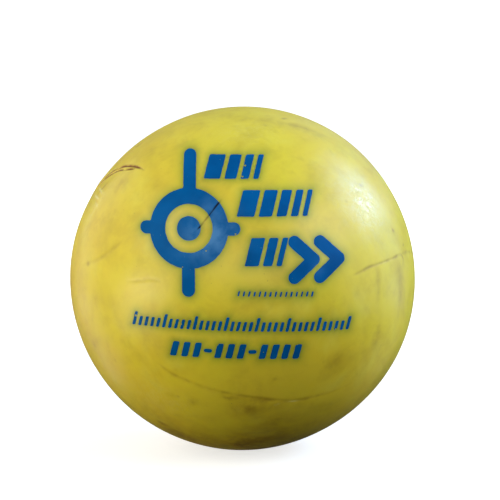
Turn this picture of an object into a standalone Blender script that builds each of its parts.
"""A soft weighted batting-practice ball, as the pieces it is made of. Metres, +Z up.

shell      one-piece soft PVC skin, with a stepped filling hole through its wall at the back (+Y)
fill_plug  soft PVC stopper that is bonded into the filling hole
sand_fill  loose dry sand inside, with a little empty space above it

The printed side faces -Y. The origin is the centre of the small flat face that the ball rests on.
"""

import math

import bmesh
import bpy

# The ball
BALL_DIAMETER = 0.082
WALL = 0.0045
REST_FACE_DIAMETER = 0.012  # where the heavy ball's soft skin flattens on the surface below it
GAP = 0.0003  # left between pieces that touch

# The filling hole and its plug, both turned about the hole's axis
HEAD_DIAMETER = 0.014
STEM_DIAMETER = 0.009
SEAT_DEPTH = 0.0024  # from the ball's surface down to the step that stops the plug's head
PLUG_EDGE = 0.0004  # the bevel round the plug's head and stem
DIMPLE_DIAMETER = 0.003  # the mark that the filling nozzle leaves in the middle of the head
DIMPLE_DEPTH = 0.0006

# The sand
SAND_CLEARANCE = 0.0006  # between the sand and the inside of the shell
HEADSPACE = 0.008  # from the top of the sand's sphere down to the rim of its free surface
MOUND_HEIGHT = 0.0015  # the free surface is this much higher in the middle than at its rim

# Facets
SHELL_SEGMENTS = 64
INNER_SEGMENTS = 48
PLUG_SEGMENTS = 40
MOUND_RINGS = 4
HEAD_RINGS = 3
SHARP_EDGE = math.radians(30)

# Worked out from the dimensions above
BALL_RADIUS = BALL_DIAMETER / 2
CAVITY_RADIUS = BALL_RADIUS - WALL
SAND_RADIUS = CAVITY_RADIUS - SAND_CLEARANCE
CENTRE_HEIGHT = math.sqrt(BALL_RADIUS**2 - (REST_FACE_DIAMETER / 2) ** 2)
SEAT_HEIGHT = BALL_RADIUS - SEAT_DEPTH
ALONG_PLUG_AXIS = (math.radians(-90), 0, 0)  # turns a piece's own +Z to +Y

# Colour, roughness and metallic value of each material
YELLOW_PVC = ((0.70, 0.60, 0.055), 0.38, 0.0)
PLUG_PVC = ((0.66, 0.55, 0.06), 0.45, 0.0)
DRY_SAND = ((0.42, 0.33, 0.21), 0.95, 0.0)


def clear_scene():
    for obj in list(bpy.data.objects):
        bpy.data.objects.remove(obj, do_unlink=True)


def arc(radius, start, end, steps):
    """Points (r, z) on a circle about the origin, from one angle below +Z to another, in degrees."""
    angles = [math.radians(start + (end - start) * i / steps) for i in range(steps + 1)]
    return [(radius * math.sin(a), radius * math.cos(a)) for a in angles]


def angle_at(radius, r):
    """The angle below +Z, in degrees, at which a circle about the origin is r away from the axis."""
    return math.degrees(math.asin(r / radius))


def turned(name, profile, segments):
    """A closed solid turned about its own Z axis.

    The profile's points (r, z) run down the outer side, from the axis at the top to the axis at the
    bottom.
    """
    turns = [2 * math.pi * i / segments for i in range(segments)]
    mesh = bpy.data.meshes.new(name)
    bm = bmesh.new()
    top = bm.verts.new((0, 0, profile[0][1]))
    rings = [
        [bm.verts.new((r * math.cos(t), r * math.sin(t), z)) for t in turns]
        for r, z in profile[1:-1]
    ]
    bottom = bm.verts.new((0, 0, profile[-1][1]))
    for i in range(segments):
        j = (i + 1) % segments
        bm.faces.new((top, rings[0][i], rings[0][j]))
        for upper, lower in zip(rings, rings[1:]):
            bm.faces.new((upper[i], lower[i], lower[j], upper[j]))
        bm.faces.new((bottom, rings[-1][j], rings[-1][i]))
    bm.to_mesh(mesh)
    bm.free()
    obj = bpy.data.objects.new(name, mesh)
    bpy.context.scene.collection.objects.link(obj)
    return obj


def material(name, finish):
    colour, roughness, metallic = finish
    mat = bpy.data.materials.new(name)
    mat.use_nodes = True
    shader = mat.node_tree.nodes["Principled BSDF"]
    shader.inputs["Base Color"].default_value = (*colour, 1)
    shader.inputs["Roughness"].default_value = roughness
    shader.inputs["Metallic"].default_value = metallic
    return mat


def finish_piece(obj, mat, centre):
    """Shades a round piece smooth, gives it its material and hangs it on the ball's centre."""
    obj.data.shade_smooth()
    obj.data.set_sharp_from_angle(angle=SHARP_EDGE)
    obj.data.materials.append(mat)
    obj.parent = centre
    return obj


def cut(obj, cutter):
    """Takes the cutter's shape out of a piece. The cutter itself isn't a piece."""
    cutter.hide_render = True
    cutter.display_type = "WIRE"
    cutter.parent = obj
    modifier = obj.modifiers.new(cutter.name, "BOOLEAN")
    modifier.operation = "DIFFERENCE"
    modifier.solver = "EXACT"
    modifier.object = cutter


def seat_profile():
    """The filling hole: a wide seat for the plug's head, then a narrower way through the wall."""
    head = HEAD_DIAMETER / 2 + GAP
    stem = STEM_DIAMETER / 2 + GAP
    outside = BALL_RADIUS + WALL
    inside = CAVITY_RADIUS - WALL
    return [
        (0, outside),
        (head, outside),
        (head, SEAT_HEIGHT),
        (stem, SEAT_HEIGHT),
        (stem, inside),
        (0, inside),
    ]


def make_shell(centre):
    rim = 180 - angle_at(BALL_RADIUS, REST_FACE_DIAMETER / 2)
    upper_half = arc(BALL_RADIUS, 0, 90, SHELL_SEGMENTS // 4)
    lower_half = arc(BALL_RADIUS, 90, rim, SHELL_SEGMENTS // 4)
    outside = upper_half + lower_half[1:] + [(0, -CENTRE_HEIGHT)]
    shell = turned("shell", outside, SHELL_SEGMENTS)
    cavity = turned("cavity_cutter", arc(CAVITY_RADIUS, 0, 180, INNER_SEGMENTS // 2), INNER_SEGMENTS)
    cut(shell, cavity)
    seat = turned("seat_cutter", seat_profile(), PLUG_SEGMENTS)
    seat.rotation_euler = ALONG_PLUG_AXIS
    cut(shell, seat)
    return finish_piece(shell, material("yellow_pvc", YELLOW_PVC), centre)


def make_fill_plug(centre):
    head = HEAD_DIAMETER / 2
    stem = STEM_DIAMETER / 2
    dimple = DIMPLE_DIAMETER / 2
    stop = SEAT_HEIGHT + GAP
    inner_end = math.sqrt(CAVITY_RADIUS**2 - stem**2)
    from_dimple = angle_at(BALL_RADIUS, dimple)
    crown = arc(BALL_RADIUS, from_dimple, angle_at(BALL_RADIUS, head - PLUG_EDGE), HEAD_RINGS)
    edge_height = crown[-1][1] - PLUG_EDGE
    profile = [
        (0, BALL_RADIUS - DIMPLE_DEPTH),
        (dimple / 2, BALL_RADIUS - DIMPLE_DEPTH),
        *crown,
        (head, edge_height),
        (head, stop),
        (stem, stop),
        (stem, inner_end + PLUG_EDGE),
        (stem - PLUG_EDGE, inner_end),
        (0, inner_end),
    ]
    plug = turned("fill_plug", profile, PLUG_SEGMENTS)
    plug.rotation_euler = ALONG_PLUG_AXIS
    return finish_piece(plug, material("plug_pvc", PLUG_PVC), centre)


def make_sand_fill(centre):
    """The sand's own origin is on the axis that it rolls about inside the shell."""
    rim_height = SAND_RADIUS - HEADSPACE
    rim_radius = math.sqrt(SAND_RADIUS**2 - rim_height**2)
    mound = []
    for i in range(MOUND_RINGS):
        out = i / MOUND_RINGS
        rise = MOUND_HEIGHT * (1 + math.cos(math.pi * out)) / 2
        mound.append((rim_radius * out, rim_height + rise))
    below = arc(SAND_RADIUS, angle_at(SAND_RADIUS, rim_radius), 180, INNER_SEGMENTS * 3 // 8)
    sand = turned("sand_fill", mound + below, INNER_SEGMENTS)
    return finish_piece(sand, material("dry_sand", DRY_SAND), centre)


def main():
    clear_scene()
    centre = bpy.data.objects.new("ball_centre", None)
    bpy.context.scene.collection.objects.link(centre)
    centre.location = (0, 0, CENTRE_HEIGHT)
    make_shell(centre)
    make_fill_plug(centre)
    make_sand_fill(centre)


main()
